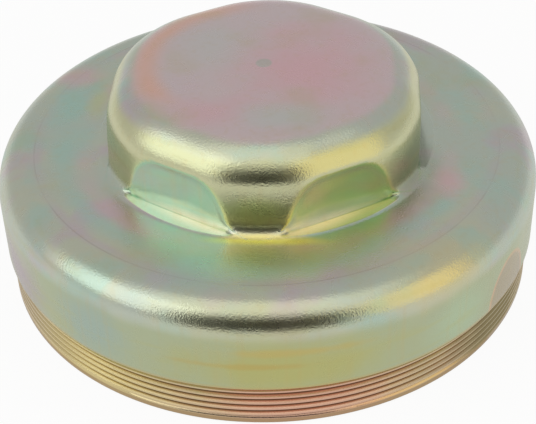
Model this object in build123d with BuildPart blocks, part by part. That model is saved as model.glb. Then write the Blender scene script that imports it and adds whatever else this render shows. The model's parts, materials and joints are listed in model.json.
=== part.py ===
"""Screw-on hub cap for the wheel of a truck or trailer, drawn in one piece from sheet steel.

A round cup carries a hexagonal boss on its crown, with six pressed flats for a spanner, and its
mouth is turned down to a land for a fine thread. The cap stands on its rim: the origin is the
middle of the mouth, +Z points out through the boss, and two corners of the hexagon lie on the
Y axis. Sizes are in millimetres, slopes in degrees.
"""

import os
from math import cos, hypot, radians, sin, sqrt, tan

from build123d import *

# The turned mouth
thread_diameter = 150.0  # land for the fine thread, over its crests
thread_length = 13.2  # mouth to the seat under the skirt
seat_width = 1.0  # step from the land out to the skirt
seat_chamfer = 0.4  # broken edge at the foot of the skirt
rim_chamfer = 0.6  # lead-in at the mouth, outside and inside

# The drawn cup
sheet = 4.0  # thickness of the steel, the same all over
overall_height = 62.0  # mouth to the top of the boss
ring_height = 38.4  # mouth to the flat ring round the boss
skirt_diameter = thread_diameter + 2 * seat_width
shoulder_radius = 9.0  # outside bend between the ring and the skirt

# The boss, round at its foot and hexagonal at its top
boss_foot_diameter = 90.8
foot_bevel_width = 2.0  # band between the ring and the boss's wall
foot_bevel_height = 1.0
boss_draft = 4.0  # slope of the round wall
hexagon_across_flats = 82.4  # where the hexagon's sides, drawn on, reach the top
hexagon_corner_radius = 33.0  # at the same height
hexagon_draft = 11.0  # slope of the hexagon's sides, which run out into the round foot
boss_top_radius = 13.4  # outside bend between the boss's wall and its top

# The pressed flats
spanner_size = 85.0  # across flats
die_corner_radius = 10.0  # the hexagonal die's corners, which clear the boss outside
ledge_height = 0.7  # floor of each pressing, above the ring

# The mark of the drawing punch in the middle of the top
dimple_diameter = 4.6
dimple_depth = 0.25

CORNERS = 6
CORNER_TURN = 180 / CORNERS  # puts two of them on the Y axis
OVERRUN = 1.0  # how far a cut runs past the metal
BEVEL = 2 - sqrt(2)  # leg of the bevel that touches a bend's arc, as a share of its radius


def level_inset(inset, draft):
    """Level distance between a sloping wall and its inner skin, each met at its own top or foot."""
    slope = radians(draft)
    return inset * (1 - sin(slope)) / cos(slope)


def bend(edges, radius, inset):
    """Round the outer skin's bend, or bevel the inner skin along the same bend."""
    if inset:
        chamfer(edges, (radius - inset) * BEVEL)
    else:
        fillet(edges, radius)


def foot_bevel(foot_radius, inset):
    """Band at the foot of the boss, where the inner skin's lies parallel to the outer one's."""
    width, height = foot_bevel_width, foot_bevel_height
    growth = 1 + inset * (width + height - hypot(width, height)) / (width * height)
    wall_radius = foot_radius - height * growth * tan(radians(boss_draft))
    standing = (Align.CENTER, Align.CENTER, Align.MIN)
    Cone(foot_radius + width * growth, wall_radius, height * growth, align=standing)


def pressing(inset):
    """The pressing as a full solid, up to the skin that lies `inset` inside its outer one."""
    mouth = -OVERRUN if inset else 0
    ring = ring_height - inset
    top = overall_height - inset
    boss_height = overall_height - ring_height

    with BuildPart() as cup:
        with BuildSketch(Plane.XY.offset(mouth)):
            Circle(skirt_diameter / 2 - inset)
        extrude(amount=ring - mouth)
        bend(cup.edges().group_by(Axis.Z)[-1], shoulder_radius, inset)

    with BuildPart() as hexagon:
        side_inset = level_inset(inset, hexagon_draft)
        apothem = hexagon_across_flats / 2 - side_inset
        with BuildSketch(Plane.XY.offset(top)):
            RegularPolygon(apothem, CORNERS, major_radius=False, rotation=CORNER_TURN)
            fillet(vertices(), hexagon_corner_radius - side_inset)
        extrude(amount=-boss_height - OVERRUN, taper=-hexagon_draft)
        bend(hexagon.edges().group_by(Axis.Z)[-1], boss_top_radius, inset)

    with BuildPart() as form:
        foot_radius = boss_foot_diameter / 2 - level_inset(inset, boss_draft)
        with BuildSketch(Plane.XY.offset(ring)):
            Circle(foot_radius)
        extrude(amount=boss_height, taper=boss_draft)
        add(hexagon.part, mode=Mode.INTERSECT)
        add(cup.part)
        with Locations((0, 0, ring)):
            foot_bevel(foot_radius, inset)
        with BuildSketch(Plane.XY.offset(ring + ledge_height)):
            Circle(skirt_diameter / 2)
            RegularPolygon(
                spanner_size / 2 - inset,
                CORNERS,
                major_radius=False,
                rotation=CORNER_TURN,
                mode=Mode.SUBTRACT,
            )
            fillet(vertices().sort_by_distance((0, 0))[:CORNERS], die_corner_radius)
        extrude(amount=boss_height, mode=Mode.SUBTRACT)
    return form.part


with BuildPart() as hub_cap:
    add(pressing(0))
    add(pressing(sheet), mode=Mode.SUBTRACT)

    # Turned land for the thread, and the seat above it
    with BuildSketch():
        Circle(skirt_diameter / 2 + OVERRUN)
        Circle(thread_diameter / 2, mode=Mode.SUBTRACT)
    extrude(amount=thread_length, mode=Mode.SUBTRACT)
    chamfer(hub_cap.edges().group_by(Axis.Z)[0], rim_chamfer)
    seat = hub_cap.faces().filter_by(Axis.Z).sort_by(Axis.Z)[1]
    chamfer(seat.outer_wire().edges(), seat_chamfer)

    # Shallow round punch mark
    punch_radius = (dimple_diameter**2 / 4 + dimple_depth**2) / (2 * dimple_depth)
    with Locations((0, 0, overall_height - dimple_depth + punch_radius)):
        Sphere(punch_radius, mode=Mode.SUBTRACT)

hub_cap.part.label = "hub_cap"

os.makedirs("parts", exist_ok=True)
export_step(hub_cap.part, "parts/hub_cap.step")
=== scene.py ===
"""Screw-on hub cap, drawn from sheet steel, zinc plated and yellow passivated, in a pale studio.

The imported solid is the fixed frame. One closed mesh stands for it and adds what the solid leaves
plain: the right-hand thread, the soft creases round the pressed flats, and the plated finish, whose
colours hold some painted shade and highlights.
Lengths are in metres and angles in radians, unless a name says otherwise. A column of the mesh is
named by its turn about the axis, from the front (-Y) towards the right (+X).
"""

import json
import logging
import math
from dataclasses import dataclass
from enum import IntEnum
from typing import Any, Sequence

import bmesh
import bpy
import numpy as np
from mathutils import Matrix, Vector


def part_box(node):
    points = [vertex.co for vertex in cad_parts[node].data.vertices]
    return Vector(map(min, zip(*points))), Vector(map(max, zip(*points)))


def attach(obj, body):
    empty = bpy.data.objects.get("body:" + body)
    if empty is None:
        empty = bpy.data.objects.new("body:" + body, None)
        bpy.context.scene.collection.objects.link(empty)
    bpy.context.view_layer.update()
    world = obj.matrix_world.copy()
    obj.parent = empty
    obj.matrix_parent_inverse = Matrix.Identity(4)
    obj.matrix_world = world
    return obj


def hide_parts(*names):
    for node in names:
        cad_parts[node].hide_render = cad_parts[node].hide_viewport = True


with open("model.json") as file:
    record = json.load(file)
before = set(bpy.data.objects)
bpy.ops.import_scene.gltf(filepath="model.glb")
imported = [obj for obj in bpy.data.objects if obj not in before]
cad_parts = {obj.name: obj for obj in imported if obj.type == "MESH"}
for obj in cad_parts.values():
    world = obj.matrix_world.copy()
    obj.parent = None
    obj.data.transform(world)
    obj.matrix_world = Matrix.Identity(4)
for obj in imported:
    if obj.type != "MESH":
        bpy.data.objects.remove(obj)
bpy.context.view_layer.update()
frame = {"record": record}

LOG = logging.getLogger("hub_cap_scene")
MM = 0.001
CORNERS = 6
SECTOR = math.pi / CORNERS
Array = np.ndarray
Row = tuple[Array, Array]
Rows = list[Row]
Pair = tuple[float, float]
Triple = tuple[float, float, float]
Colour = Triple
Socket = bpy.types.NodeSocket


class Skin(IntEnum):
    """Material slots of the cap's mesh."""

    OUTSIDE = 0
    THREAD = 1
    INSIDE = 2


def smooth_min(a: Array, b: Array, blend: float) -> Array:
    """The lower of two surfaces, with a soft crease where they cross.

    Args:
        a: Radii of the first surface.
        b: Radii of the second surface.
        blend: How near to each other they start to blend.

    Returns:
        Radii of the blended surface.
    """
    near = np.clip(blend - np.abs(a - b), 0.0, None) / blend
    return np.minimum(a, b) - near * near * blend / 4.0


def smooth_step(low: float, high: float, x: Array) -> Array:
    """A soft ramp from 0 at low to 1 at high."""
    t = np.clip((x - low) / (high - low), 0.0, 1.0)
    return t * t * (3.0 - 2.0 * t)


def level_inset(inset: float, slope: float) -> float:
    """Level distance between a sloping wall and its inner skin."""
    return inset * (1.0 - math.sin(slope)) / math.cos(slope)


def put_in_scene(name: str, data: Any) -> bpy.types.Object:
    """Make an object of a mesh, lamp or camera, and link it to the scene."""
    made = bpy.data.objects.new(name, data)
    bpy.context.scene.collection.objects.link(made)
    return made


@dataclass(frozen=True)
class CapSizes:
    """Sizes of the cap, those of its box and thread taken from the frame."""

    skirt_radius: float
    height: float
    thread_radius: float
    thread_length: float
    sheet: float = 4.0 * MM
    ring_height: float = 38.4 * MM
    shoulder_radius: float = 9.0 * MM
    seat_chamfer: float = 0.25 * MM
    rim_chamfer: float = 0.6 * MM
    foot_radius: float = 45.4 * MM
    foot_flare: float = 3.2 * MM
    foot_slope: float = math.radians(4.0)
    hexagon_apothem: float = 41.2 * MM
    hexagon_corner: float = 33.0 * MM
    hexagon_slope: float = math.radians(11.0)
    top_bend: float = 13.4 * MM
    spanner_apothem: float = 42.4 * MM
    flat_lean: float = 0.028
    flat_dish: float = 0.35 * MM
    ledge_height: float = 0.7 * MM
    dimple_radius: float = 2.3 * MM
    dimple_depth: float = 0.25 * MM

    @classmethod
    def from_frame(cls) -> "CapSizes":
        """Read the box of the node and the thread's mount."""
        low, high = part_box("hub_cap")
        thread = next(m for m in frame["record"]["mounts"] if m["name"] == "thread")
        return cls(
            skirt_radius=(high.x - low.x) / 2.0,
            height=high.z,
            thread_radius=thread["dims"]["r_mm"] * MM,
            thread_length=thread["dims"]["length_mm"] * MM,
        )


@dataclass(frozen=True)
class ColumnPlan:
    """How the mesh's columns are spread: closer where the flats' leaning sides run."""

    edges_deg: tuple[float, ...] = (0.0, 10.0, 24.0, 30.0)
    steps: tuple[int, ...] = (7, 19, 5)

    def turns(self) -> Array:
        """Turn of each column, once round from the front corner."""
        half: list[float] = []
        for low, high, count in zip(self.edges_deg, self.edges_deg[1:], self.steps):
            half += list(np.linspace(low, high, count, endpoint=False))
        from_flat = np.radians(np.array(half + [self.edges_deg[-1]]))
        sector = np.concatenate([SECTOR - from_flat[::-1], SECTOR + from_flat[1:]])[:-1]
        return np.concatenate([sector + 2.0 * SECTOR * k for k in range(CORNERS)])


@dataclass
class BossSkin:
    """One skin of the boss: a hexagon at its top, round at its foot, with six pressed flats."""

    sizes: CapSizes
    turns: Array
    inset: float
    crease: float = 0.42 * MM
    blend: float = 0.9 * MM
    dish_rise: float = 6.5 * MM
    dish_reach: Pair = (8.0 * MM, math.sqrt(30.0) * MM)
    ledge_top: float = 1.1 * MM
    ledge_rim: float = 0.35 * MM
    ledge_tilt: float = 0.15
    corner_depth: float = 1.3 * MM
    ledge_steps: tuple[Pair, ...] = (
        (0.5, 0.0), (1.0, 0.0), (1.0, 0.06), (1.0, 0.35), (1.0, 0.7), (1.0, 0.94), (1.0, 1.0),
    )
    groove: float = 0.26 * MM
    groove_at: float = 0.75 * MM
    groove_spread: float = 0.85 * MM
    dimple_steps: tuple[float, ...] = (0.0, 0.3, 0.55, 0.75, 0.9, 1.0, 1.12)
    dimple_edge: Pair = (0.45, 1.08)

    def __post_init__(self) -> None:
        """Work out this skin's own sizes from the inset."""
        s = self.sizes
        side = level_inset(self.inset, s.hexagon_slope)
        self.apothem = s.hexagon_apothem - side
        self.corner = s.hexagon_corner - side
        self.bend = s.top_bend - self.inset
        self.top = s.height - self.inset
        self.ring = s.ring_height - self.inset
        self.foot = s.foot_radius - level_inset(self.inset, s.foot_slope)
        self.flare = s.foot_flare + self.inset
        self.flat = s.spanner_apothem - self.inset
        self.ledge = self.ring + s.ledge_height
        self.high = self.ring + self.ledge_top
        self.low = self.ring + self.ledge_rim
        self.off_flat = np.mod(self.turns, 2.0 * SECTOR) - SECTOR

    def outline(self, apothem: Array | float) -> Array:
        """Radius of the round-cornered hexagon in each column.

        Args:
            apothem: Distance of the hexagon's sides from the axis.

        Returns:
            The radii.
        """
        corner = self.corner + apothem - self.apothem
        centre = (apothem - corner) / math.cos(SECTOR)
        off = np.abs(self.off_flat)
        straight = apothem / np.cos(off)
        to_corner = SECTOR - off
        across = centre * np.sin(to_corner)
        round_part = centre * np.cos(to_corner) + np.sqrt(corner**2 - across**2)
        tangent = np.arctan2((apothem - corner) * math.tan(SECTOR), apothem)
        return np.where(off <= tangent, straight, round_part)

    def flare_at(self, z: Array | float) -> Array:
        """How far the foot flares out at a height."""
        drop = np.clip(self.ring + self.flare - np.asarray(z), 0.0, self.flare)
        return self.flare - np.sqrt(self.flare**2 - drop**2)

    def wall(self, apothem: Array | float, z: Array | float) -> Array:
        """Radius of the unpressed boss at a level."""
        cone = self.foot - (z - self.ring) * math.tan(self.sizes.foot_slope)
        hexagon = self.outline(apothem)
        return smooth_min(hexagon, np.full_like(hexagon, cone), self.blend) + self.flare_at(z)

    def face(self, z: Array | float) -> Array:
        """Radius of the pressed flats at a level, a little dished and leaning."""
        rise = z - self.ledge
        wide, tall = self.dish_reach
        across = self.flat * np.tan(self.off_flat) / wide
        up = (rise - self.dish_rise) / tall
        dish = self.sizes.flat_dish * np.exp(-(across**2 + up**2))
        return (self.flat + self.sizes.flat_lean * rise - dish) / np.cos(self.off_flat)

    def pressed(self, apothem: float, z: float) -> Array:
        """Radius of the boss with its flats, pressed deeper along their rims, at a level."""
        wall, face = self.wall(apothem, z), self.face(z)
        depth = np.clip(wall - face, 0.0, None)
        groove = self.groove * np.exp(-(((depth - self.groove_at) / self.groove_spread) ** 2))
        groove = groove * smooth_step(0.0, self.groove_at, depth)
        return smooth_min(wall, face - groove, self.crease)

    def apothem_at(self, z: Array | float) -> Array | float:
        """Distance of the hexagon's leaning sides from the axis at a height."""
        return self.apothem + (self.top - z) * math.tan(self.sizes.hexagon_slope)

    def apothem_of(self, z: Array) -> Array:
        """Distance of the hexagon's sides from the axis at any height, on the bend too."""
        lean = np.arcsin(np.clip(1.0 - (self.top - z) / self.bend, -1.0, 1.0))
        bent = self.plate_edge() + self.bend * np.cos(lean)
        return np.where(lean > self.sizes.hexagon_slope, bent, self.apothem_at(z))

    def plate_edge(self) -> float:
        """Distance of the bend's upper edge from the axis, in the middle of a side."""
        return self.apothem - level_inset(self.bend, self.sizes.hexagon_slope)

    def bend_and_wall(self, bend_rows: int, wall_rows: int) -> Rows:
        """Rows from the plate's edge down to the ledges.

        Args:
            bend_rows: How many rows over the bend.
            wall_rows: How many rows down the wall.

        Returns:
            The rows.
        """
        slope = self.sizes.hexagon_slope
        flat = np.ones_like(self.turns)
        rows: Rows = []
        for share in np.linspace(0.0, 1.0, bend_rows):
            lean = math.pi / 2.0 - (math.pi / 2.0 - slope) * share
            apothem = self.plate_edge() + self.bend * math.cos(lean)
            z = self.top - self.bend * (1.0 - math.sin(lean))
            rows.append((self.pressed(apothem, z), z * flat))
        start = self.top - self.bend * (1.0 - math.sin(slope))
        for z in np.linspace(start, self.high, wall_rows + 1)[1:]:
            rows.append((self.pressed(self.apothem_at(z), z), z * flat))
        return rows

    def ledge_edge(self) -> Array:
        """Radius of the ledges' outer edge in each column."""
        return self.wall(self.apothem_at(self.low), self.low)

    def ledges(self) -> Rows:
        """Rows over the ledges, which dip towards the flats and end at the corners."""
        start = self.pressed(self.apothem_at(self.high), self.high)
        depth = self.wall(self.apothem_at(self.high), self.high) - self.face(self.high)
        corner = 1.0 - smooth_step(0.0, self.corner_depth, depth)
        width = self.ledge_edge() - start
        foot = self.low - self.ledge_tilt * width
        rows: Rows = []
        for step, (down, run) in enumerate(self.ledge_steps, start=1):
            step_r = start + width * run
            step_z = self.high + (foot - self.high) * down + (self.low - foot) * run
            wall_z = self.high + (self.low - self.high) * step / len(self.ledge_steps)
            wall_r = self.wall(self.apothem_at(wall_z), wall_z)
            rows.append((step_r + (wall_r - step_r) * corner, step_z + (wall_z - step_z) * corner))
        return rows

    def tail(self, count: int) -> Rows:
        """Rows down the last of the flare, onto the ring.

        Args:
            count: How many rows.

        Returns:
            The rows, the last of them on the ring.
        """
        begin = math.asin((self.ring + self.flare - self.low) / self.flare)
        rows: Rows = []
        for lean in np.linspace(begin, math.pi / 2.0, count + 1)[1:]:
            z = self.ring + self.flare * (1.0 - math.sin(lean))
            rows.append((self.wall(self.apothem_at(z), z), np.full_like(self.turns, z)))
        return rows

    def plate(self, start: float, shares: Sequence[float]) -> Rows:
        """Rows from a circle on the plate out to its edge.

        Args:
            start: Radius of the circle.
            shares: Place of each row on the way, from 0 to 1.

        Returns:
            The rows.
        """
        edge = self.outline(self.plate_edge())
        return [(start + (edge - start) * u, np.full_like(edge, self.top)) for u in shares]

    def dimple(self) -> Rows:
        """Rows over the shallow mark of the drawing punch."""
        radius, depth = self.sizes.dimple_radius, self.sizes.dimple_depth
        rows: Rows = []
        for u in self.dimple_steps:
            lift = self.top - depth * (1.0 - smooth_step(*self.dimple_edge, np.array(u)))
            rows.append((np.full_like(self.turns, u * radius), np.full_like(self.turns, lift)))
        return rows


@dataclass
class CupSkin:
    """The round part of one skin: ring, shoulder and skirt."""

    sizes: CapSizes
    turns: Array
    inset: float

    def level(self, radius: float, z: float) -> Row:
        """One level round row."""
        return np.full_like(self.turns, radius), np.full_like(self.turns, z)

    def ring(self, shares: Sequence[float], start: Array) -> Rows:
        """Rows over the flat ring, from the foot of the boss outwards."""
        height = self.sizes.ring_height - self.inset
        end = self.sizes.skirt_radius - self.sizes.shoulder_radius
        return [(start + (end - start) * u, np.full_like(start, height)) for u in shares]

    def shoulder(self, count: int) -> Rows:
        """Rows over the bend between the ring and the skirt."""
        radius = self.sizes.shoulder_radius - self.inset
        centre = self.sizes.skirt_radius - self.sizes.shoulder_radius
        height = self.sizes.ring_height - self.sizes.shoulder_radius
        leans = np.linspace(0.0, math.pi / 2.0, count + 1)[1:]
        return [
            self.level(centre + radius * math.sin(a), height + radius * math.cos(a)) for a in leans
        ]

    def skirt(self, end: float, count: int) -> Rows:
        """Rows down the skirt, to a height."""
        start = self.sizes.ring_height - self.sizes.shoulder_radius
        radius = self.sizes.skirt_radius - self.inset
        return [self.level(radius, z) for z in np.linspace(start, end, count + 1)[1:]]


@dataclass
class TurnedThread:
    """The fine right-hand thread cut on the mouth, as true helical rows."""

    sizes: CapSizes
    turns: Array
    pitch: float = 2.0 * MM
    depth: float = 1.0 * MM
    land: float = 2.1 * MM
    crest_height: float = 3.3 * MM
    flank: Pair = (0.1, 0.42)
    run_in: float = 0.9 * MM
    run_out: float = 0.7 * MM
    marks: tuple[float, ...] = (-0.5, -0.36, -0.25, -0.13, 0.0, 0.13, 0.25, 0.36)

    def top(self) -> float:
        """Height of the seat, where the thread ends."""
        return self.sizes.thread_length + self.sizes.rim_chamfer

    def profile(self, turn: Array, z: Array) -> Array:
        """Radius of the thread.

        Args:
            turn: Turn of each point.
            z: Height of each point.

        Returns:
            The radii, which run out to the plain land at both ends.
        """
        along = (z - self.crest_height) / self.pitch - turn / (2.0 * math.pi)
        from_crest = np.abs(along - np.round(along))
        cut = smooth_step(*self.flank, from_crest)
        fade = smooth_step(self.land, self.land + self.run_in, z)
        fade = fade * (1.0 - smooth_step(self.top() - self.run_out, self.top(), z))
        return self.sizes.thread_radius - self.depth * cut * fade

    def grid(self) -> tuple[Array, Array, Array]:
        """Turn, radius and height of every point, by helical row and by column.

        Returns:
            Three arrays with a column more than the cap has, as a row ends a pitch higher.
        """
        turn = np.append(self.turns, self.turns[0] + 2.0 * math.pi)
        laps = int(math.ceil((self.top() - self.land) / self.pitch)) + 2
        starts = np.array([k + m for k in range(-laps, laps + 1) for m in self.marks]) * self.pitch
        z = self.crest_height + starts[::-1, None] + self.pitch * turn[None, :] / (2.0 * math.pi)
        used = (z.max(axis=1) >= self.land) & (z.min(axis=1) <= self.top())
        first, last = np.flatnonzero(used)[[0, -1]]
        z = np.clip(z[max(first - 1, 0):last + 2], self.land, self.top())
        turn = np.broadcast_to(turn, z.shape)
        return turn, self.profile(turn, z), z


@dataclass
class MeshPatch:
    """Points on a grid, with the material of their faces."""

    turn: Array
    radius: Array
    height: Array
    skin: Skin
    closed: bool = True

    def points(self) -> Array:
        """The grid's points in the row frame."""
        x = self.radius * np.sin(self.turn)
        y = -self.radius * np.cos(self.turn)
        return np.stack([x, y, self.height], axis=-1)


@dataclass(frozen=True)
class RowPlan:
    """How a skin's rows are spread: shares of the way over flat parts, and counts over the rest."""

    plate: tuple[float, ...]
    bend: int
    wall: int
    tail: int
    ring: tuple[float, ...]
    shoulder: int
    skirt: int


OUTSIDE_ROWS = RowPlan(
    plate=(0.1, 0.25, 0.45, 0.65, 0.85), bend=25, wall=15, tail=5,
    ring=(0.05, 0.12, 0.2, 0.3, 0.4, 0.5, 0.6, 0.7, 0.8, 0.9, 1.0), shoulder=16, skirt=7,
)
INSIDE_ROWS = RowPlan(
    plate=(0.0, 0.35, 0.7), bend=11, wall=6, tail=5, ring=(0.35, 0.7, 1.0), shoulder=8, skirt=3
)


@dataclass
class HubCap:
    """The whole cap as one closed mesh.

    The roundings are in shares of their chamfer: how far inwards and how far up each row lies.
    The edges of the marks are depths between which a mark starts and is full.
    """

    sizes: CapSizes
    columns: ColumnPlan
    name: str = "hub_cap_plated"
    sharp_angle: float = math.radians(38.0)
    weld: float = 2e-6
    skirt_end: float = 1.4
    seat_rounding: tuple[Pair, ...] = ((0.3, 0.3), (1.0, 0.0))
    rim_rounding: tuple[Pair, ...] = ((0.0, 1.2), (0.1, 0.9), (0.9, 0.1), (1.2, 0.0))
    flat_edge: Pair = (-0.05 * MM, 0.12 * MM)
    face_edge: Pair = (0.05 * MM, 0.3 * MM)
    ledge_edge: Pair = (0.0, 0.2 * MM)
    ledge_end: Pair = (0.4 * MM, 1.5 * MM)

    def patch(self, rows: Sequence[Row], skin: Skin) -> MeshPatch:
        """Stack level rows into a patch."""
        turns = np.broadcast_to(self.turns, (len(rows), len(self.turns)))
        radius, height = np.stack([r for r, _ in rows]), np.stack([z for _, z in rows])
        return MeshPatch(turns, radius, height, skin)

    def skin_rows(self, inset: float, plan: RowPlan, middle: Rows, foot: float) -> Rows:
        """Rows of one skin, from the middle of its plate to the foot of its skirt.

        Args:
            inset: How far the skin lies inside the outer one.
            plan: How the rows are spread.
            middle: Rows over the middle of the plate, if it isn't plain.
            foot: Height at which the skirt's rows end.

        Returns:
            The rows.
        """
        boss = BossSkin(self.sizes, self.turns, inset)
        cup = CupSkin(self.sizes, self.turns, inset)
        start = float(middle[-1][0][0]) if middle else 0.0
        rows = middle + boss.plate(start, plan.plate) + boss.bend_and_wall(plan.bend, plan.wall)
        rows += boss.ledges() + boss.tail(plan.tail)
        rows += cup.ring(plan.ring, rows[-1][0]) + cup.shoulder(plan.shoulder)
        return rows + cup.skirt(foot, plan.skirt)

    def outside(self) -> Rows:
        """Rows from the middle of the top down to the seat."""
        s, cup = self.sizes, CupSkin(self.sizes, self.turns, 0.0)
        seat = s.thread_length + s.rim_chamfer
        dimple = BossSkin(s, self.turns, 0.0).dimple()
        rows = self.skin_rows(0.0, OUTSIDE_ROWS, dimple, seat + self.skirt_end * s.seat_chamfer)
        for inwards, up in self.seat_rounding:
            radius = s.skirt_radius - inwards * s.seat_chamfer
            rows.append(cup.level(radius, seat + up * s.seat_chamfer))
        return rows + [cup.level(s.thread_radius, seat)]

    def rim(self) -> Rows:
        """Rows from the thread's end over the rim and into the mouth."""
        s, cup = self.sizes, CupSkin(self.sizes, self.turns, 0.0)
        rows = [cup.level(s.thread_radius, TurnedThread(s, self.turns).land)]
        for inwards, up in self.rim_rounding:
            rows.append(cup.level(s.thread_radius - inwards * s.rim_chamfer, up * s.rim_chamfer))
        inner = s.skirt_radius - s.sheet
        return rows + [cup.level(inner + s.rim_chamfer, 0.0), cup.level(inner, s.rim_chamfer)]

    def inside(self) -> Rows:
        """Rows from the mouth up to the middle of the top's underside."""
        return self.skin_rows(self.sizes.sheet, INSIDE_ROWS, [], self.sizes.rim_chamfer)[::-1]

    def mark(self, mesh: bpy.types.Mesh) -> None:
        """Mark the pressed flats and the ledges: burnished by the press, the flats with a film of
        their own, and carrying painted shade on the right flat and a painted highlight on the front
        ledges.

        Args:
            mesh: The welded mesh, which gets one number a point for each mark.
        """
        place = np.empty(len(mesh.vertices) * 3, np.float32)
        mesh.vertices.foreach_get("co", place)
        x, y, z = place.reshape(-1, 3).T.astype(float)
        boss = BossSkin(self.sizes, np.arctan2(x, -y), 0.0)
        radius = np.hypot(x, y)
        depth = boss.wall(boss.apothem_of(z), z) - boss.face(z)
        beyond = smooth_step(*self.face_edge, radius - boss.face(z))
        flat = smooth_step(*self.flat_edge, depth) * (1.0 - beyond)
        ledge = beyond * (1.0 - smooth_step(*self.ledge_edge, radius - boss.ledge_edge()))
        ends = boss.wall(boss.apothem_at(boss.high), boss.high) - boss.face(boss.high)
        ledge = ledge * smooth_step(*self.ledge_end, ends)
        for name, values in (("pressed_flat", flat), ("ledge", ledge)):
            mark = mesh.attributes.new(name, "FLOAT", "POINT")
            mark.data.foreach_set("value", values.astype(np.float32))

    def build(self) -> bpy.types.Object:
        """Make the mesh.

        Returns:
            The object, in place and linked to the scene.
        """
        self.turns = self.columns.turns()
        turn, radius, height = TurnedThread(self.sizes, self.turns).grid()
        patches = [
            self.patch(self.outside(), Skin.OUTSIDE),
            MeshPatch(turn, radius, height, Skin.THREAD, closed=False),
            self.patch(self.rim(), Skin.THREAD),
            self.patch(self.inside(), Skin.INSIDE),
        ]
        points, faces, skins = [], [], []
        for patch in patches:
            offset = sum(len(p) for p in points)
            rows, columns = patch.radius.shape
            index = offset + np.arange(rows * columns).reshape(rows, columns)
            right = np.roll(index, -1, axis=1) if patch.closed else index[:, 1:]
            left = index if patch.closed else index[:, :-1]
            quads = np.stack([left[:-1], left[1:], right[1:], right[:-1]], axis=-1).reshape(-1, 4)
            points.append(patch.points().reshape(-1, 3))
            faces.append(quads)
            skins.append(np.full(len(quads), int(patch.skin)))
        return self.sew(np.concatenate(points), np.concatenate(faces), np.concatenate(skins))

    def sew(self, points: Array, faces: Array, skins: Array) -> bpy.types.Object:
        """Weld the patches into one closed mesh.

        Args:
            points: All points, doubled along the patches' borders.
            faces: Four point numbers a face.
            skins: Material slot of each face.

        Returns:
            The object, linked to the scene.
        """
        work = bmesh.new()
        made = [work.verts.new(p) for p in points.tolist()]
        for corners, skin in zip(faces.tolist(), skins.tolist()):
            work.faces.new([made[i] for i in corners]).material_index = skin
        bmesh.ops.remove_doubles(work, verts=work.verts, dist=self.weld)
        bmesh.ops.dissolve_degenerate(work, edges=work.edges, dist=self.weld)
        bmesh.ops.recalc_face_normals(work, faces=work.faces)
        mesh = bpy.data.meshes.new(self.name)
        work.to_mesh(mesh)
        open_edges = sum(1 for e in work.edges if len(e.link_faces) != 2)
        LOG.info("cap mesh: %d faces, %d open edges", len(work.faces), open_edges)
        work.free()
        self.mark(mesh)
        mesh.shade_smooth()
        mesh.set_sharp_from_angle(angle=self.sharp_angle)
        return put_in_scene(self.name, mesh)


class Wiring:
    """Adds nodes to one tree and links them."""

    def __init__(self, tree: bpy.types.NodeTree) -> None:
        """Take the tree to work on."""
        self.tree = tree

    def put(self, socket: Socket, value: Any) -> None:
        """Link a socket to an output, or set its value."""
        if isinstance(value, Socket):
            self.tree.links.new(value, socket)
        elif socket.type == "RGBA":
            socket.default_value = (*value, 1.0)[:4]
        else:
            socket.default_value = value

    def node(
        self, kind: str, sockets: dict[str | int, Any] | None = None, **settings: Any
    ) -> bpy.types.Node:
        """Add a node.

        Args:
            kind: Type of the node.
            sockets: Values or outputs for its inputs, by name or number.
            settings: Its own options.

        Returns:
            The node.
        """
        made = self.tree.nodes.new(kind)
        for key, value in settings.items():
            setattr(made, key, value)
        for key, value in (sockets or {}).items():
            self.put(made.inputs[key], value)
        return made

    def math(self, operation: str, *values: Any) -> Socket:
        """A Math node's result."""
        made = self.node("ShaderNodeMath", dict(enumerate(values)), operation=operation)
        return made.outputs[0]

    def vector(self, operation: str, *values: Any) -> Socket:
        """A Vector Math node's vector, or its number where it gives one."""
        made = self.node("ShaderNodeVectorMath", dict(enumerate(values)), operation=operation)
        return made.outputs["Value" if operation == "LENGTH" else "Vector"]

    def fade(self, value: Any, low: Any, high: Any) -> Socket:
        """A soft ramp from 0 at low to 1 at high."""
        ends = {0: value, 1: low, 2: high, 3: 0.0, 4: 1.0}
        made = self.node("ShaderNodeMapRange", ends, interpolation_type="SMOOTHSTEP")
        return made.outputs[0]

    def mix(self, factor: Any, first: Any, second: Any) -> Socket:
        """A mix of two colours."""
        made = self.node("ShaderNodeMix", {0: factor, 6: first, 7: second}, data_type="RGBA")
        return made.outputs[2]

    def blend(self, factor: Any, first: Any, second: Any) -> Socket:
        """A mix of two shaders."""
        return self.node("ShaderNodeMixShader", {0: factor, 1: first, 2: second}).outputs[0]

    def noise(self, place: Any, size: Any, detail: float = 2.0) -> Socket:
        """Noise with features of about a size in metres."""
        scale = self.math("DIVIDE", 1.0, size)
        made = self.node("ShaderNodeTexNoise", {"Vector": place, "Scale": scale, "Detail": detail})
        return made.outputs[0]

    def stray(self, value: Any, place: Any, size: float, detail: float, swing: Any) -> Socket:
        """A value that noise of a size moves to and fro by a swing."""
        rough = self.math("SUBTRACT", self.noise(place, size, detail), 0.5)
        return self.math("MULTIPLY_ADD", rough, swing, value)

    def split(self, place: Any) -> tuple[Socket, ...]:
        """The three parts of a vector."""
        return tuple(self.node("ShaderNodeSeparateXYZ", {0: place}).outputs)


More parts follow.
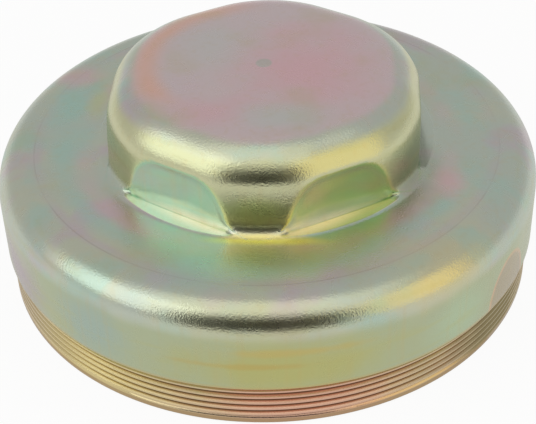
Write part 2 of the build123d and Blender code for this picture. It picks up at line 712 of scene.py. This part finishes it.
class Effect:
    """A shader node group with named inputs and outputs, built once."""

    name: str
    inputs: dict[str, str]
    outputs: dict[str, str]

    def wire(self, w: Wiring, given: Any) -> dict[str, Any]:
        """Fill the group; each effect has its own."""
        raise NotImplementedError

    def group(self) -> bpy.types.NodeTree:
        """The group, made at its first use."""
        tree = bpy.data.node_groups.get(self.name)
        if tree is None:
            tree = bpy.data.node_groups.new(self.name, "ShaderNodeTree")
            for side, sockets in (("INPUT", self.inputs), ("OUTPUT", self.outputs)):
                for name, kind in sockets.items():
                    tree.interface.new_socket(name, in_out=side, socket_type=f"NodeSocket{kind}")
            w = Wiring(tree)
            given = w.node("NodeGroupInput").outputs
            w.node("NodeGroupOutput", self.wire(w, given))
        return tree

    def place(self, w: Wiring, values: dict[str, Any]) -> dict[str, Socket]:
        """Put the group into a material.

        Args:
            w: Wiring of the material.
            values: All its inputs by name.

        Returns:
            The outputs by name.
        """
        label = getattr(self, "label", self.name)
        made = w.node("ShaderNodeGroup", values, node_tree=self.group(), label=label)
        return {socket.name: socket for socket in made.outputs}


class FilmAndPaintedLightTint(Effect):
    """Another film colour, or painted shade or highlight, laid where the effect's mask shows it.

    The fields of each kind are its group's inputs, a tint and a strength among them.
    """

    outputs = {"Colour": "Color"}

    def values(self) -> dict[str, Any]:
        """The fields by the inputs' names, with lengths in metres."""
        made: dict[str, Any] = {}
        for key, value in vars(self).items():
            if key.endswith("_mm"):
                value = tuple(v * MM for v in value) if isinstance(value, tuple) else value * MM
            if key != "label":
                made[key.removesuffix("_mm").capitalize()] = value
        return made

    @property
    def inputs(self) -> dict[str, str]:
        """Kinds of the inputs: the film so far, the position and the fields."""
        found = self.values().items()
        kinds = {key: "Vector" if isinstance(value, tuple) else "Float" for key, value in found}
        return kinds | {"Colour": "Color", "Position": "Vector", "Tint": "Color"}

    def mask(self, w: Wiring, given: Any) -> Socket:
        """Where the tint lies, from 0 to 1; each effect has its own."""
        raise NotImplementedError

    def wire(self, w: Wiring, given: Any) -> dict[str, Any]:
        """Mix the tint in by the mask and the strength."""
        share = w.math("MULTIPLY", self.mask(w, given), given["Strength"])
        return {"Colour": w.mix(share, given["Colour"], given["Tint"])}


@dataclass(frozen=True)
class Patch(FilmAndPaintedLightTint):
    """A named, soft-edged patch: its middle, its reach and its colour."""

    label: str
    centre_mm: Triple
    reach_mm: Triple
    tint: Colour
    strength: float = 0.8
    softness: float = 0.85
    raggedness: float = 0.5
    name = "tint_patch"
    ragged_size = 9.0 * MM

    def mask(self, w: Wiring, given: Any) -> Socket:
        """Distance from the centre in units of the reach, roughened by noise."""
        place = given["Position"]
        offset = w.vector("DIVIDE", w.vector("SUBTRACT", place, given["Centre"]), given["Reach"])
        away = w.vector("LENGTH", offset)
        away = w.stray(away, place, self.ragged_size, 3.0, given["Raggedness"])
        return w.fade(away, 1.0, w.math("SUBTRACT", 1.0, given["Softness"]))


@dataclass(frozen=True)
class Band(FilmAndPaintedLightTint):
    """A band between two heights."""

    low_mm: float
    high_mm: float
    edge_mm: float
    tint: Colour
    strength: float
    wander_mm: float = 0.0
    name = "tint_band"
    wander_size = 14.0 * MM

    def mask(self, w: Wiring, given: Any) -> Socket:
        """Two ramps over the height, moved a little by noise."""
        place, low, high, edge = (given[k] for k in ("Position", "Low", "High", "Edge"))
        height = w.stray(w.split(place)[2], place, self.wander_size, 3.0, given["Wander"])
        up = w.fade(height, low, w.math("ADD", low, edge))
        down = w.fade(height, high, w.math("SUBTRACT", high, edge))
        return w.math("MULTIPLY", up, down)


@dataclass(frozen=True)
class Hoop(FilmAndPaintedLightTint):
    """A hoop at a radius from the axis."""

    radius_mm: float
    width_mm: float
    wander_mm: float
    tint: Colour
    strength: float
    breaks: float = 1.0
    name = "tint_hoop"
    wander_size = 16.0 * MM
    break_size = 24.0 * MM
    break_levels = (0.58, 0.32)

    def mask(self, w: Wiring, given: Any) -> Socket:
        """Distance from the radius, with a break here and there."""
        place = given["Position"]
        radius = w.vector("LENGTH", w.vector("MULTIPLY", place, (1.0, 1.0, 0.0)))
        radius = w.stray(radius, place, self.wander_size, 2.0, given["Wander"])
        away = w.math("ABSOLUTE", w.math("SUBTRACT", radius, given["Radius"]))
        gaps = w.fade(w.noise(place, self.break_size), *self.break_levels)
        whole = w.math("SUBTRACT", 1.0, w.math("MULTIPLY", gaps, given["Breaks"]))
        return w.math("MULTIPLY", w.fade(away, given["Width"], 0.0), whole)


@dataclass(frozen=True)
class Cloud(FilmAndPaintedLightTint):
    """Slow drift of the passivated film from one colour to another."""

    tint: Colour
    size_mm: float
    low: float
    high: float
    strength: float
    name = "film_cloud"

    def mask(self, w: Wiring, given: Any) -> Socket:
        """Noise, cut to the part between two levels."""
        return w.fade(w.noise(given["Position"], given["Size"], 3.0), given["Low"], given["High"])


@dataclass(frozen=True)
class Streaks(FilmAndPaintedLightTint):
    """Streaks drawn out along one direction."""

    squeeze: Triple
    size_mm: float
    tint: Colour
    strength: float
    name = "streaks"
    levels = (0.5, 0.72)

    def mask(self, w: Wiring, given: Any) -> Socket:
        """Noise over a squeezed position."""
        place = w.vector("MULTIPLY", given["Position"], given["Squeeze"])
        return w.fade(w.noise(place, given["Size"], 3.0), *self.levels)


class SatinGrain(Effect):
    """Fine orange peel of the plated sheet."""

    name = "satin_grain"
    inputs = {"Position": "Vector", "Grain": "Float", "Coarse": "Float", "Share": "Float"}
    outputs = {"Height": "Float", "Gloss": "Float"}
    gloss_size = 12.0 * MM

    def wire(self, w: Wiring, given: Any) -> dict[str, Any]:
        """Two noises for the height, and a slow one for the gloss."""
        place = given["Position"]
        fine = w.noise(place, given["Grain"], 1.0)
        height = w.math("MULTIPLY_ADD", w.noise(place, given["Coarse"]), given["Share"], fine)
        return {"Height": height, "Gloss": w.noise(place, self.gloss_size, 4.0)}


@dataclass(frozen=True)
class Finish:
    """Numbers of one plated finish."""

    name: str
    base: Colour
    roughness: float
    gloss_swing: float
    grain_mm: float
    coarse_mm: float
    coarse_share: float
    bump_mm: float
    polish: float = 0.06
    grain_lost: float = 0.8


PLATED = Finish("plated_sheet", (0.58, 0.64, 0.55), 0.27, 0.06, 0.5, 2.6, 0.1, 0.052)
TURNED = Finish("turned_thread", (0.7, 0.56, 0.35), 0.24, 0.08, 0.4, 2.0, 0.4, 0.012)
DRAWN = Finish("drawn_inside", (0.54, 0.56, 0.46), 0.34, 0.12, 0.6, 3.0, 0.4, 0.03)

MINT = (0.48, 0.68, 0.59)
PALE = (0.68, 0.67, 0.64)
CREAM = (0.68, 0.66, 0.48)
MAUVE = (0.65, 0.54, 0.59)
ROSE = (0.84, 0.54, 0.57)
SALMON = (0.9, 0.56, 0.45)
STRAW = (0.56, 0.54, 0.2)
OLIVE = (0.42, 0.5, 0.24)
AMBER = (0.66, 0.47, 0.18)

PLATE_PATCHES = (
    Patch("plate_rose_right", (12, -4, 62), (30, 30, 12), ROSE, 0.95, 0.95, 0.6),
    Patch("plate_rose_back", (12, 16, 62), (18, 12, 12), ROSE, 0.5, 0.9, 0.6),
    Patch("plate_rose_front", (-12, -24, 62), (20, 10, 10), ROSE, 0.7, 0.95, 0.6),
    Patch("plate_grey_left", (-16, 8, 62), (14, 18, 8), PALE, 0.7, 0.9, 0.9),
    Patch("plate_grey_front", (6, -26, 62), (18, 9, 8), PALE, 0.95, 0.9, 0.9),
    Patch("dimple", (0, 0, 62), (2.5, 2.5, 3), (0.52, 0.58, 0.5), 0.6, 0.25, 0.1),
)
WALL_PATCHES = (
    # Painted shade: the patch below darkens the right wall of the boss.
    Patch("wall_olive_right", (42, -20, 44), (13, 24, 11), (0.34, 0.4, 0.26), 0.8, 0.8),
    Patch("wall_olive_front", (0, -45, 44.5), (14, 9, 7), (0.8, 0.88, 0.32), 0.85, 0.8),
)
RING_PATCHES = (
    Patch("ring_mint_near", (-53, -6, 38), (8, 18, 8), MINT, 0.6, 0.9, 0.9),
    Patch("ring_mint_left", (-58, 14, 38), (9, 18, 8), MINT, 1.0, 0.9, 0.9),
    Patch("ring_rose_right", (50, -22, 38), (7, 11, 8), ROSE, 0.75, 0.9, 0.9),
    Patch("ring_mint_front", (-8, -60, 38), (26, 9, 8), MINT, 0.5, 0.9, 0.9),
    # Painted reflection: the patch below lays a bright amber band at the foot of the boss's front
    # corner.
    Patch("foot_amber_front", (3, -47.6, 38.8), (20, 2.6, 2.2), (0.92, 0.8, 0.32), 0.95, 0.7, 0.3),
    # Painted shade: the patch below darkens the ring in front of the boss.
    Patch("ring_dark_front", (4, -55, 38), (22, 8, 6), (0.39, 0.43, 0.31), 0.8, 0.95, 0.4),
    Patch("ring_lime_left", (-50, 17, 38), (5, 13, 8), (0.6, 0.68, 0.4), 0.8, 0.9, 0.8),
    Patch("ring_rose_back", (-58, 30, 38), (10, 9, 8), ROSE, 0.45, 0.9, 0.8),
)
SKIRT_PATCHES = (
    Patch("shoulder_straw_right", (44, -54, 34), (30, 22, 9), (0.74, 0.66, 0.38), 0.8, 0.9),
    Patch("shoulder_straw_front", (-4, -74, 34), (34, 14, 7), (0.68, 0.68, 0.44), 0.8, 0.9),
    Patch("skirt_straw_front", (10, -76, 20), (46, 22, 14), STRAW, 0.85, 0.9),
    Patch("skirt_mint_left", (-42, -63, 22), (18, 14, 14), (0.43, 0.54, 0.47), 0.9, 0.9),
    Patch("skirt_mauve_left", (-66, -38, 20), (22, 22, 14), (0.5, 0.42, 0.43), 1.0, 0.9),
    Patch("skirt_mint_right", (52, -55, 20), (16, 14, 14), (0.52, 0.64, 0.43), 0.9, 0.9),
    Patch("skirt_streak_high", (12, -76, 25.5), (30, 22, 1.8), (0.64, 0.5, 0.17), 0.6, 0.9, 0.9),
    Patch("skirt_streak_low", (-2, -76, 21), (24, 22, 1.4), (0.6, 0.42, 0.12), 0.5, 0.9, 0.9),
    Patch("stain_edge", (66.5, -37, 11), (14.8, 10.3, 16.2), (0.74, 0.5, 0.32), 0.9, 0.08, 0.1),
    Patch("stain", (66.5, -37, 11), (14, 9.5, 15.4), (0.49, 0.43, 0.3), 0.95, 0.1, 0.1),
)
FLAT_PATCHES = (
    Patch("flats_mint", (-24, -36, 45), (46, 46, 40), (0.4, 0.62, 0.48), 0.95, 0.8, 0.2),
    Patch("flats_olive", (34, -30, 45), (34, 46, 40), (0.34, 0.5, 0.27), 0.95, 0.8, 0.2),
    # Painted shade: the patch below darkens the flat on the right of the boss.
    Patch("flats_dark_right", (43, 0, 46), (6, 22, 12), (0.24, 0.25, 0.2), 0.9, 0.4, 0.1),
    Patch("flats_pale_foot", (0, -37, 38.2), (40, 16, 3.4), (0.86, 0.84, 0.62), 0.9, 0.8, 0.1),
    Patch("flats_green", (24, -34, 46), (14, 12, 4), (0.34, 0.52, 0.3), 0.6, 0.9),
)
OUTSIDE_FILM = (
    Cloud(CREAM, 30.0, 0.45, 0.65, 0.5),
    Cloud(MAUVE, 22.0, 0.5, 0.66, 0.7),
    Cloud(MINT, 18.0, 0.5, 0.66, 0.6),
    Hoop(52.0, 5.0, 5.0, ROSE, 0.35),
    Hoop(58.0, 5.0, 6.0, MINT, 0.6),
    Hoop(64.5, 2.6, 3.0, MAUVE, 0.5),
    Hoop(65.2, 0.35, 0.0, (0.42, 0.36, 0.33), 0.4),
    Band(10.0, 32.0, 4.0, (0.5, 0.55, 0.35), 0.92, 3.0),
    Band(39.2, 59.5, 2.5, (0.7, 0.7, 0.42), 0.9, 2.0),
    Band(60.4, 64.0, 1.2, (0.79, 0.63, 0.65), 0.85, 1.0),
)
PLATE_ARC = (Hoop(32.5, 6.0, 2.5, SALMON, 0.9, 0.15),)
ARC_X_MM = (2.0, -18.0)
ARC_Y_MM = (-25.0, -13.0)
# Painted highlight: a pale tint on the ledges, at the front only.
PAINTED_LEDGE_HIGHLIGHT = (1.0, 0.93, 0.82)
LEDGE_HIGHLIGHT_STRENGTH = 0.97
LEDGE_HIGHLIGHT_Y_MM = (-20.0, -26.0)
OUTSIDE_WEAR = (
    Streaks((0.12, 0.12, 1.0), 2.4, STRAW, 0.2),
    Streaks((1.0, 1.0, 0.06), 1.6, AMBER, 0.1),
    Band(12.9, 14.3, 0.8, AMBER, 0.5),
)
THREAD_FILM_AND_ROOT_SHADE = (
    Cloud((0.74, 0.5, 0.34), 40.0, 0.4, 0.62, 0.5),
    Cloud((0.7, 0.62, 0.34), 18.0, 0.5, 0.7, 0.4),
    Patch("thread_gold_left", (-46, -60, 7), (36, 30, 20), (0.82, 0.68, 0.32), 0.85),
    Patch("thread_copper_front", (14, -74, 7), (40, 24, 20), (0.78, 0.46, 0.35), 0.85),
    Patch("thread_brown_right", (64, -40, 7), (28, 32, 20), (0.38, 0.32, 0.16), 0.9),
    # Painted shade: a dark hoop at the radius of the thread's roots darkens its grooves.
    Hoop(73.95, 0.75, 0.0, (0.14, 0.08, 0.04), 0.9, 0.0),
    Band(-1.0, 2.3, 0.6, (0.42, 0.28, 0.14), 0.75),
)
INSIDE_FILM = (
    Cloud(STRAW, 30.0, 0.42, 0.64, 0.5),
    Cloud(MAUVE, 22.0, 0.55, 0.72, 0.4),
    Streaks((1.0, 1.0, 0.08), 2.0, OLIVE, 0.2),
)


class Paint:
    """A material with its shader and wiring."""

    def __init__(self, name: str, colour: Colour, roughness: float) -> None:
        """Start the material in one colour."""
        self.material = bpy.data.materials.new(name)
        self.material.use_nodes = True
        self.w = Wiring(self.material.node_tree)
        self.shader = self.w.tree.nodes["Principled BSDF"]
        self.set("Base Color", colour)
        self.set("Roughness", roughness)

    def set(self, name: str, value: Any) -> None:
        """Give the shader's input a value or a link."""
        self.w.put(self.shader.inputs[name], value)


class PlatedSteel(Paint):
    """A plated, passivated steel finish made from the shared effects."""

    def __init__(self, finish: Finish) -> None:
        """Start the finish as bare metal."""
        super().__init__(finish.name, finish.base, finish.roughness)
        self.set("Metallic", 1.0)
        self.finish = finish
        self.place = self.w.node("ShaderNodeTexCoord").outputs["Object"]
        self.colour: Any = finish.base
        self.polished: Any = 0.0

    def marked(self, name: str) -> Socket:
        """A mark of the mesh, from 0 to 1."""
        return self.w.node("ShaderNodeAttribute", attribute_name=name).outputs["Fac"]

    def side(self, axis: int, low_mm: float, high_mm: float) -> Socket:
        """A ramp along one axis, from 0 at low to 1 at high."""
        return self.w.fade(self.w.split(self.place)[axis], low_mm * MM, high_mm * MM)

    def both(self, first: Any, second: Any) -> Socket:
        """Two masks or shares as one."""
        return self.w.math("MULTIPLY", first, second)

    def mark(self, tint: Colour, strength: float, where: Any) -> None:
        """Tint what a mask shows."""
        self.colour = self.w.mix(self.both(where, strength), self.colour, tint)

    def polish(self, where: Any) -> None:
        """Burnish what a mask shows: less rough there, and with little grain."""
        self.polished = self.w.math("MAXIMUM", self.polished, where)

    def lay(self, effects: Sequence[FilmAndPaintedLightTint], where: Any = None) -> None:
        """Lay effects over the film, one after another.

        Args:
            effects: The effects.
            where: A mask that holds them back, if any.
        """
        for effect in effects:
            values = effect.values() | {"Colour": self.colour, "Position": self.place}
            if where is not None:
                values["Strength"] = self.both(where, values["Strength"])
            self.colour = effect.place(self.w, values)["Colour"]

    def done(self) -> bpy.types.Material:
        """Link the colour, the gloss and the grain, and give the material."""
        f, w = self.finish, self.w
        sizes = {"Grain": f.grain_mm * MM, "Coarse": f.coarse_mm * MM, "Share": f.coarse_share}
        grain = SatinGrain().place(w, {"Position": self.place} | sizes)
        gloss = w.math("SUBTRACT", grain["Gloss"], 0.5)
        rough = w.math("MULTIPLY_ADD", gloss, f.gloss_swing * 2.0, f.roughness)
        rough = w.math("MULTIPLY_ADD", self.polished, -f.polish, rough)
        grained = w.math("MULTIPLY_ADD", self.polished, -f.grain_lost, 1.0)
        relief = {"Strength": grained, "Distance": f.bump_mm * MM, "Height": grain["Height"]}
        bump = w.node("ShaderNodeBump", relief)
        self.set("Base Color", self.colour)
        self.set("Roughness", rough)
        self.set("Normal", bump.outputs[0])
        return self.material


def outside_finish() -> bpy.types.Material:
    """The drawn and plated outside of the cap, with painted shade, a painted reflection and a
    painted highlight among its tints.
    """
    steel = PlatedSteel(PLATED)
    steel.lay(OUTSIDE_FILM)
    steel.lay(PLATE_ARC, steel.both(steel.side(0, *ARC_X_MM), steel.side(1, *ARC_Y_MM)))
    steel.lay((*PLATE_PATCHES, *RING_PATCHES, *SKIRT_PATCHES, *WALL_PATCHES))
    flats, ledges = steel.marked("pressed_flat"), steel.marked("ledge")
    steel.lay(FLAT_PATCHES, flats)
    # Paint a highlight on the front ledges.
    steel.mark(PAINTED_LEDGE_HIGHLIGHT, LEDGE_HIGHLIGHT_STRENGTH, steel.both(ledges, steel.side(1, *LEDGE_HIGHLIGHT_Y_MM)))
    steel.polish(flats)
    steel.polish(ledges)
    steel.lay(OUTSIDE_WEAR)
    return steel.done()


def plain_finish(finish: Finish, film: Sequence[FilmAndPaintedLightTint]) -> bpy.types.Material:
    """A finish with one set of tints all over, as on the thread and the inside; on the thread they
    include painted shade in the roots.
    """
    steel = PlatedSteel(finish)
    steel.lay(film)
    return steel.done()


WHITE: Colour = (1.0, 1.0, 1.0)
DULL = 0.9


@dataclass(frozen=True)
class SoftBox:
    """A soft lamp at a direction from the cap, in degrees: turn from the front, and height."""

    name: str
    turn_deg: float
    height_deg: float
    half_width_deg: float
    half_height_deg: float
    level: float
    colour: Colour
    distance: float = 0.9

    def direction(self) -> Vector:
        """From the cap to the lamp."""
        a, e = math.radians(self.turn_deg), math.radians(self.height_deg)
        return Vector((math.sin(a) * math.cos(e), -math.cos(a) * math.cos(e), math.sin(e)))

    def size(self) -> Pair:
        """Width and height of the lamp's face."""
        width = 2.0 * self.distance * math.tan(math.radians(self.half_width_deg))
        return width, 2.0 * self.distance * math.tan(math.radians(self.half_height_deg))

    def light(self) -> None:
        """Make the lamp."""
        width, height = self.size()
        lamp = bpy.data.lights.new(self.name, "AREA")
        lamp.shape = "RECTANGLE"
        lamp.size, lamp.size_y = width, height
        lamp.energy = self.level * math.pi * width * height
        lamp.color = self.colour
        self.hang(lamp)

    def hang(self, data: Any) -> bpy.types.Object:
        """Place a lamp or card in its direction, facing the cap, unseen by the camera."""
        made = put_in_scene(self.name, data)
        made.location = self.direction() * self.distance
        made.rotation_mode = "QUATERNION"
        made.rotation_quaternion = self.direction().to_track_quat("Z", "Y")
        made.visible_camera = False
        return made

    def flag(self) -> None:
        """Make a dark card in place of a lamp."""
        width, height = self.size()
        x, y = width / 2.0, height / 2.0
        mesh = bpy.data.meshes.new(self.name)
        corners = [(-x, -y, 0), (x, -y, 0), (x, y, 0), (-x, y, 0)]
        mesh.from_pydata(corners, [], [(0, 1, 2, 3)])
        paint = Paint(self.name, self.colour, DULL)
        mesh.materials.append(paint.material)
        made = self.hang(mesh)


@dataclass(frozen=True)
class Studio:
    """Pale floor, even sky, soft lamps and a dark card."""

    floor_radius: float = 4.0
    floor_segments: int = 96
    floor_drop: float = 0.2 * MM
    floor_paint: Colour = (0.9, 0.9, 0.9)
    floor_glow: float = 0.94
    mirror_glow: float = 0.8
    mirror_level: float = 0.8
    sky_level: float = 0.54
    horizon_level: float = 0.58
    horizon_rise: float = 0.3
    lamps: tuple[SoftBox, ...] = (
        SoftBox("key_left", -60.0, 34.0, 23.0, 20.0, 0.8, (0.95, 1.0, 0.97)),
        SoftBox("top", 0.0, 69.0, 32.0, 20.0, 0.42, (1.0, 1.0, 0.82)),
        SoftBox("fill_right", 58.0, 24.0, 21.0, 22.0, 0.48, (1.0, 0.76, 0.12)),
    )
    card: SoftBox = SoftBox("dark_card", 0.0, 19.0, 30.0, 19.0, 0.0, (0.02, 0.02, 0.02), 0.8)

    def floor_shade(self) -> bpy.types.Material:
        """Make the floor's paint: white to the camera, greyer in reflections, clear from below.

        Returns:
            The material.
        """
        paint = Paint("pale_floor", self.floor_paint, DULL)
        w = paint.w
        path = w.node("ShaderNodeLightPath").outputs
        mirrored = w.math("ADD", path["Is Glossy Ray"], path["Is Transmission Ray"])
        seen = w.math("MULTIPLY", w.math("MINIMUM", mirrored, 1.0), self.mirror_glow)
        seen = w.math("MULTIPLY_ADD", path["Is Camera Ray"], self.floor_glow, seen)
        white = w.mix(path["Is Camera Ray"], (self.mirror_level,) * 3, WHITE)
        glow = w.node("ShaderNodeEmission", {"Color": white, "Strength": 1.0}).outputs[0]
        lit = w.blend(w.math("MINIMUM", seen, 1.0), paint.shader.outputs[0], glow)
        below = w.node("ShaderNodeNewGeometry").outputs["Backfacing"]
        clear = w.node("ShaderNodeBsdfTransparent").outputs[0]
        end = w.tree.nodes["Material Output"].inputs["Surface"]
        w.put(end, w.blend(below, lit, clear))
        return paint.material

    def floor(self) -> None:
        """Make the floor, which also takes the cap's shadow."""
        work = bmesh.new()
        bmesh.ops.create_circle(
            work, cap_ends=True, radius=self.floor_radius, segments=self.floor_segments
        )
        mesh = bpy.data.meshes.new("floor")
        work.to_mesh(mesh)
        work.free()
        mesh.materials.append(self.floor_shade())
        made = put_in_scene("floor", mesh)
        made.location.z = -self.floor_drop

    def sky(self) -> None:
        """Make the even sky, paler at the horizon and white to the camera."""
        world = bpy.data.worlds.new("studio_sky")
        world.use_nodes = True
        w = Wiring(world.node_tree)
        up = w.split(w.node("ShaderNodeTexCoord").outputs["Generated"])[2]
        high = w.fade(up, 0.0, self.horizon_rise)
        grey, pale = (self.sky_level,) * 3, (self.horizon_level,) * 3
        seen = w.node("ShaderNodeLightPath").outputs["Is Camera Ray"]
        colour = w.mix(seen, w.mix(high, pale, grey), WHITE)
        w.put(world.node_tree.nodes["Background"].inputs["Color"], colour)
        bpy.context.scene.world = world

    def build(self) -> None:
        """Make floor, sky, lamps and the dark card."""
        self.floor()
        self.sky()
        for lamp in self.lamps:
            lamp.light()
            LOG.info("lamp %s at level %.2f", lamp.name, lamp.level)
        self.card.flag()


@dataclass(frozen=True)
class PhotoCamera:
    """The camera that was fitted to the photograph, which is 536 x 424 pixels."""

    turn: float = math.radians(4.0)
    height: float = 0.678864533
    roll: float = 0.0323729751
    pan: float = 0.000469
    tilt: float = 0.0205917
    distance_in_radii: float = 5.40152421
    focal_pixels: float = 1369.723
    frame_pixels: float = 536.0
    sensor: float = 36.0
    clip: Pair = (0.01, 100.0)

    def build(self, radius: float) -> None:
        """Make the camera, as the scene's own.

        Args:
            radius: The skirt's radius, which the fit took as its unit.
        """
        back = Vector((0.0, -math.cos(self.height), math.sin(self.height)))
        place = back * self.distance_in_radii * radius
        ahead, right = -back, Vector((1.0, 0.0, 0.0))
        up = right.cross(ahead)
        turn = Matrix.Rotation(self.pan, 3, up)
        ahead, right = turn @ ahead, turn @ right
        turn = Matrix.Rotation(self.tilt, 3, right)
        ahead, up = turn @ ahead, turn @ up
        turn = Matrix.Rotation(self.roll, 3, ahead)
        right, up = turn @ right, turn @ up
        axes = Matrix((right, up, -ahead)).transposed().to_4x4()
        lens = bpy.data.cameras.new("photo_camera")
        lens.sensor_width = self.sensor
        lens.lens = self.focal_pixels * self.sensor / self.frame_pixels
        lens.clip_start, lens.clip_end = self.clip
        made = put_in_scene("photo_camera", lens)
        made.matrix_world = Matrix.Rotation(self.turn, 4, "Z") @ Matrix.Translation(place) @ axes
        bpy.context.scene.camera = made


def main() -> None:
    """Build the cap, dress it and set the studio."""
    logging.basicConfig(level=logging.INFO, format="%(name)s: %(message)s")
    sizes = CapSizes.from_frame()
    cap = HubCap(sizes, ColumnPlan()).build()
    cap.data.materials.append(outside_finish())
    cap.data.materials.append(plain_finish(TURNED, THREAD_FILM_AND_ROOT_SHADE))
    cap.data.materials.append(plain_finish(DRAWN, INSIDE_FILM))
    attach(cap, "root")
    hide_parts("hub_cap")
    LOG.info("piece %s rides on root", cap.name)
    Studio().build()
    PhotoCamera().build(sizes.skirt_radius)
    bpy.context.scene.view_settings.view_transform = "Standard"


if __name__ == "__main__":
    main()
